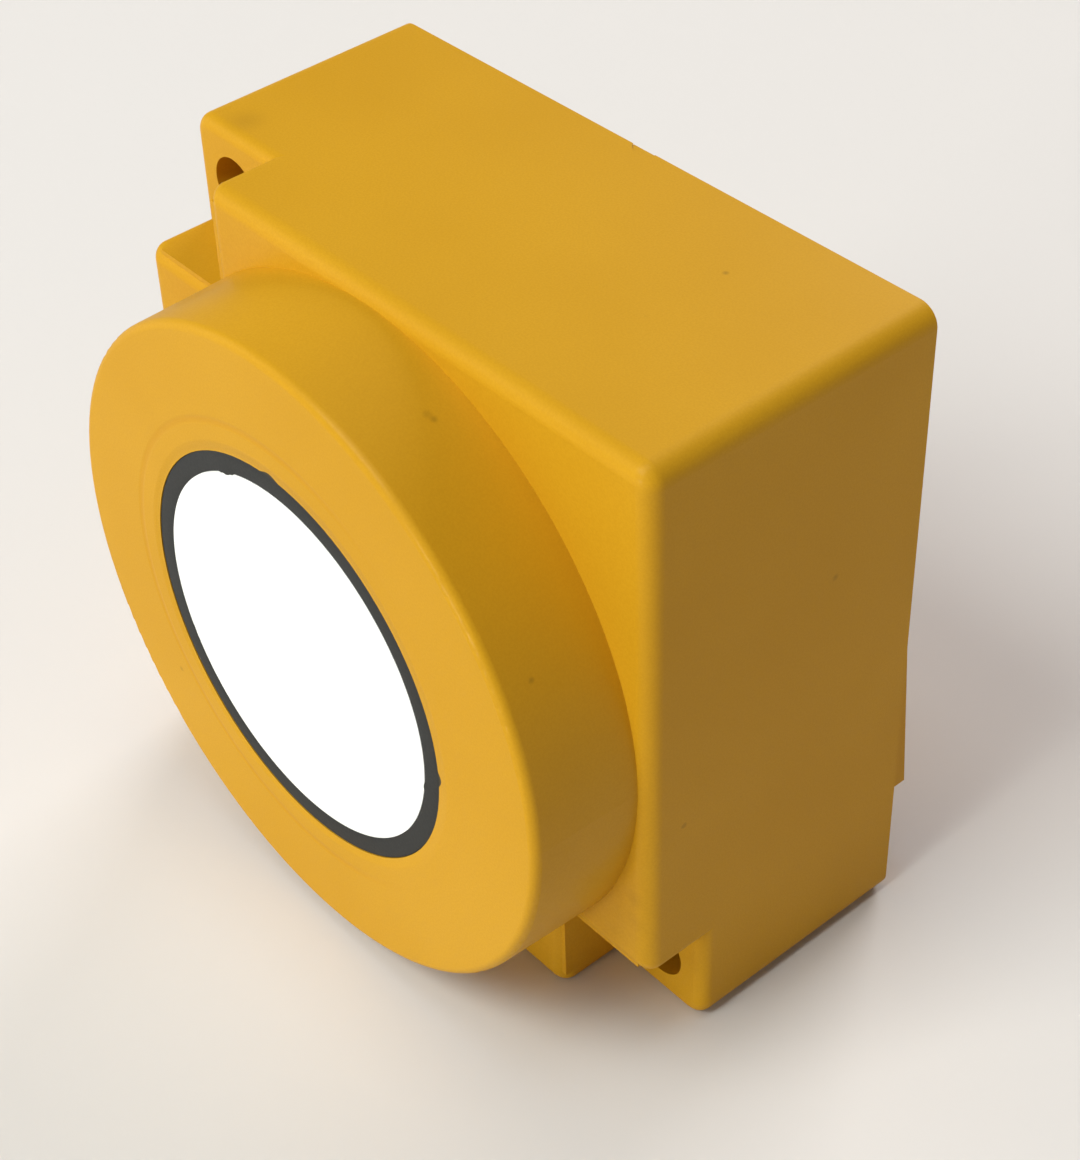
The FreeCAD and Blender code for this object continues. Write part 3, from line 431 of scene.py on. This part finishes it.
def clear_lens():
    paint = Finish("lens", IOR=1.49, Transmission_Weight=0.6)
    cloud = paint.noise(per_metre=300.0)
    colour = paint.mix(cloud, (0.80, 0.84, 0.82, 1), (0.9, 0.93, 0.91, 1))
    return paint.set(Base_Color=colour, Roughness=0.12 + 0.08 * cloud)


BOARD = board_lacquer()
CERAMIC = ceramic()
LENS = clear_lens()
print("board, ceramic and lens:", [made.material.name for made in (BOARD, CERAMIC, LENS)])

# %% [markdown]
# ## Dressing the solids
# A CAD solid keeps its shape and place. Only the material in its slot is exchanged.

# %% finish of each solid
FINISHES = {
    "housing": YELLOW, "rear_cover": YELLOW, "transducer_face": WHITE,
    "decoupling_ring": RING_RUBBER, "inner_frame": FRAME_PLASTIC, "transducer_cup": ALUMINIUM,
    "piezo_disc": CERAMIC, "backing_absorber": ABSORBER, "transducer_clamp": STEEL,
    "clamp_screws": STEEL, "main_board": BOARD, "board_screws": STEEL,
    "driver_transformer": CHIP_RESIN, "storage_capacitors": ALUMINIUM,
    "microcontroller": CHIP_RESIN, "quartz_crystal": STEEL, "voltage_regulator": CHIP_RESIN,
    "shield_can": STEEL, "pin_terminal": FRAME_PLASTIC, "chip_parts": CHIP_RESIN,
    "status_led": LENS, "cover_gasket": SEAL_RUBBER, "cover_screws": STEEL,
    "connector_shell": NICKEL, "connector_insert": FRAME_PLASTIC, "connector_pins": GOLD,
    "connector_seal": SEAL_RUBBER, "connector_nut": NICKEL, "led_window": LENS,
    "transducer_leads": LEAD_SLEEVE,
}
for name, finish in FINISHES.items():
    for holder in nodes[name].material_slots:
        holder.material = finish.material
print("dressed:", len(FINISHES), "left:", sorted(set(nodes) - set(FINISHES)))

# %% [markdown]
# ## Turned pieces
# The connector's shell, nut and pins are turned on a lathe. Blender's spin does the same:
# it carries an outline once round an axis and joins the ends. A screw thread is a spin
# that also moves along the axis at every step. The solids keep plain cylinders at the
# thread's outer diameter, so these finer pieces stand in for them within the same size.

# %% lathe
CENTRE, AXIS = (0.0, 0.0, 0.0), (0.0, 1.0, 0.0)
FULL_TURN = 2.0 * math.pi


def add_turned(bm, outline, steps, closed=False):
    """Spin an outline of (radius, depth) points in millimetres round the Y axis."""
    points = [bm.verts.new((r * MM, y * MM, 0.0)) for r, y in outline]
    pairs = list(zip(points, points[1:])) + ([(points[-1], points[0])] if closed else [])
    edges = [bm.edges.new(pair) for pair in pairs]
    bmesh.ops.spin(bm, geom=points + edges, cent=CENTRE, axis=AXIS, angle=FULL_TURN,
                   steps=steps, use_merge=True)


def add_thread(bm, root, crest, start, end, pitch, steps=48):
    """A triangular ridge wound round the Y axis from start to end, with so many steps a turn."""
    turns = (end - start) / pitch - 1.0
    ridge = ((root, 0.02), (crest, 0.42), (crest, 0.56), (root, 0.98))
    points = [bm.verts.new((r * MM, (start + y * pitch) * MM, 0.0)) for r, y in ridge]
    edges = [bm.edges.new(pair) for pair in zip(points, points[1:])]
    bmesh.ops.spin(bm, geom=points + edges, cent=CENTRE, axis=AXIS, angle=-FULL_TURN * turns,
                   dvec=(0.0, pitch * MM / steps, 0.0), steps=round(steps * turns),
                   use_merge=False)


# %% from a bmesh to a piece of the sensor
def finish_piece(name, bm, finish, slot, *stands_for, sharp_from=35.0):
    """Merge doubles, turn the faces outwards, smooth the soft edges and put it on the sensor."""
    bmesh.ops.remove_doubles(bm, verts=bm.verts, dist=SAME_POINT)
    bmesh.ops.recalc_face_normals(bm, faces=bm.faces)
    for face in bm.faces:
        face.smooth = True
    for edge in bm.edges:
        if len(edge.link_faces) == 2 and edge.calc_face_angle(0.0) > math.radians(sharp_from):
            edge.smooth = False
    mesh = bpy.data.meshes.new(name)
    bm.to_mesh(mesh)
    bm.free()
    piece = bpy.data.objects.new(name, mesh)
    mesh.materials.append(finish.material)
    scene.collection.objects.link(piece)
    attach(piece, "root")
    if stands_for:
        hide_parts(*stands_for)
    print(name, "faces:", len(mesh.polygons))


# %% [markdown]
# ### The connector's shell
# Two threads share one shell. The wide one behind the flange takes the nut, and the
# narrow one takes the cable's coupling ring. Both have a pitch of one millimetre. A short
# plain neck and a chamfer lead each thread in.

# %% connector shell
SHELL_OUTLINE = (
    (4.2, -5.5), (10.3, -5.5), (10.5, -5.3), (10.5, -3.7), (10.3, -3.5), (6.75, -3.5),
    (6.42, -3.1), (6.42, 7.2), (6.95, 7.25), (6.95, 7.6), (6.85, 7.7), (5.45, 7.7),
    (5.42, 8.0), (5.42, 16.3), (5.55, 16.9), (5.45, 17.0), (4.4, 17.0), (4.2, 16.8),
    (4.2, -5.5),
)
bm = bmesh.new()
add_turned(bm, SHELL_OUTLINE, steps=128)
add_thread(bm, root=6.41, crest=7.0, start=-3.2, end=7.1, pitch=1.0)
add_thread(bm, root=5.41, crest=6.0, start=8.0, end=16.7, pitch=1.0)
finish_piece("connector_shell_threaded", bm, NICKEL, "nickel_brass", "connector_shell")

# %% [markdown]
# ### The nut
# A real nut is turned first, with a slope on both faces, and then gets its six flats. The
# same order works here: spin the turned blank, then cut it six times with a plane and
# close each cut. The curved edges where slope and flat meet come out by themselves.

# %% nut
def cut_flats(bm, reach, count, first):
    """Cut the piece with planes round the Y axis, each at the same reach, and close the cuts."""
    for k in range(count):
        angle = first + FULL_TURN * k / count
        out = Vector((math.cos(angle), 0.0, math.sin(angle)))
        cut = bmesh.ops.bisect_plane(bm, geom=bm.verts[:] + bm.edges[:] + bm.faces[:], dist=1e-7,
                                     plane_co=out * reach * MM, plane_no=out, clear_outer=True)
        rim = [e for e in cut["geom_cut"] if isinstance(e, bmesh.types.BMEdge)]
        bmesh.ops.edgeloop_fill(bm, edges=rim)


NUT_OUTLINE = ((7.03, 4.5), (7.3, 4.2), (9.3, 4.2), (10.97, 5.0), (10.97, 6.4), (9.3, 7.2),
               (7.3, 7.2), (7.03, 6.9))
bm = bmesh.new()
add_turned(bm, NUT_OUTLINE, steps=96, closed=True)
bmesh.ops.remove_doubles(bm, verts=bm.verts, dist=SAME_POINT)
cut_flats(bm, reach=9.5, count=6, first=FULL_TURN / 4.0)
finish_piece("connector_nut_cut", bm, NICKEL, "nickel_brass", "connector_nut", sharp_from=20.0)

# %% [markdown]
# ### Contact pins and the coding rib
# The four pins end in round tips so that the socket's springs slide on. A small rib in
# the shell's bore lets the cable's plug enter in one turn only.

# %% pins
PIN_COUNT, PIN_CIRCLE = 4, 2.5
PIN_OUTLINE = ((0.0, -11.0), (0.42, -11.0), (0.5, -10.9), (0.5, 15.0), (0.46, 15.2),
               (0.36, 15.36), (0.2, 15.47), (0.0, 15.5))
bm = bmesh.new()
for k in range(PIN_COUNT):
    angle = math.pi / 4.0 + k * FULL_TURN / PIN_COUNT
    before = set(bm.verts)
    add_turned(bm, PIN_OUTLINE, steps=24)
    shift = (PIN_CIRCLE * MM * math.cos(angle), 0.0, PIN_CIRCLE * MM * math.sin(angle))
    bmesh.ops.translate(bm, verts=[v for v in bm.verts if v not in before], vec=shift)
finish_piece("connector_pins_tipped", bm, GOLD, "contact_gold", "connector_pins")

# %% coding rib
RIB_WIDTH, RIB_LENGTH, RIB_EDGE = 0.9, 7.6, 0.12
RIB_DEPTH, RIB_ABOVE = 12.2, 3.8  # its middle, along the axis and above it
bm = bmesh.new()
bmesh.ops.create_cube(bm, size=1.0)
bmesh.ops.scale(bm, verts=bm.verts, vec=(RIB_WIDTH * MM, RIB_LENGTH * MM, RIB_WIDTH * MM))
bmesh.ops.translate(bm, verts=bm.verts, vec=(0.0, RIB_DEPTH * MM, RIB_ABOVE * MM))
bmesh.ops.bevel(bm, geom=bm.edges[:], offset=RIB_EDGE * MM, segments=2, profile=0.5,
                affect="EDGES", material=-1)
finish_piece("coding_rib", bm, NICKEL, "nickel_brass")

# %% [markdown]
# ### The rubber ring
# The ring keeps the sounding face's shaking away from the housing. It is cast in place,
# so its front is slightly crowned rather than flat, and where the flash was trimmed its
# edge is a little ragged. It is turned like the metal pieces, and then a few points of
# the inner edge are pushed over the face.

# %% ring
RING_OUTLINE = (
    (19.5, -32.0), (23.85, -32.0), (23.85, -49.84), (23.8, -49.9), (23.5, -49.94),
    (22.9, -49.96), (22.2, -49.94), (21.75, -49.92), (21.55, -49.89), (21.5, -49.8),
    (21.5, -34.0), (19.5, -34.0),
)
# Each push has its direction in degrees and its length in millimetres.
PUSHES = ((111.0, 0.22), (113.0, 0.34), (115.5, 0.16), (204.0, 0.14), (352.0, 0.12))
# A push takes the points in front of this depth and inside this radius, in metres, that
# lie within this angle of its direction, in radians, and also lifts them to the front.
LIP_FRONT, LIP_RADIUS, LIP_ANGLE, LIP_LIFT = -0.04985, 0.02185, 0.025, 0.00004
bm = bmesh.new()
add_turned(bm, RING_OUTLINE, steps=288, closed=True)
for degrees, push in PUSHES:
    way = Vector((math.cos(math.radians(degrees)), 0.0, math.sin(math.radians(degrees))))
    lip = [v for v in bm.verts if v.co.y < LIP_FRONT and v.co.xz.length < LIP_RADIUS
           and (v.co.xz.normalized() - way.xz).length < LIP_ANGLE]
    bmesh.ops.translate(bm, verts=lip, vec=way * -push * MM + Vector((0.0, -LIP_LIFT, 0.0)))
finish_piece("decoupling_ring_crowned", bm, RING_RUBBER, "ring_black", "decoupling_ring")

# %% [markdown]
# ### The cover's screws
# Their heads have six-sided sockets already. A copy of the solids gets its loose
# triangles merged and its sharp edges rounded a little, because it is the bright line
# along such an edge that makes a screw look made of steel.

# %% cover screws
FLAT_BELOW, SHARP_FROM, SCREW_EDGE = math.radians(1.0), math.radians(40.0), 0.12
bm = bmesh.new()
bm.from_mesh(nodes["cover_screws"].data)
bmesh.ops.remove_doubles(bm, verts=bm.verts, dist=SAME_POINT)
bmesh.ops.dissolve_limit(bm, angle_limit=FLAT_BELOW, verts=bm.verts, edges=bm.edges)
sharp = [e for e in bm.edges if len(e.link_faces) == 2 and e.calc_face_angle(0.0) > SHARP_FROM]
bmesh.ops.bevel(bm, geom=sharp, offset=SCREW_EDGE * MM, offset_type="OFFSET", segments=2,
                profile=0.5, affect="EDGES", material=-1, clamp_overlap=True)
finish_piece("cover_screws_rounded", bm, STEEL, "bright_steel", "cover_screws")
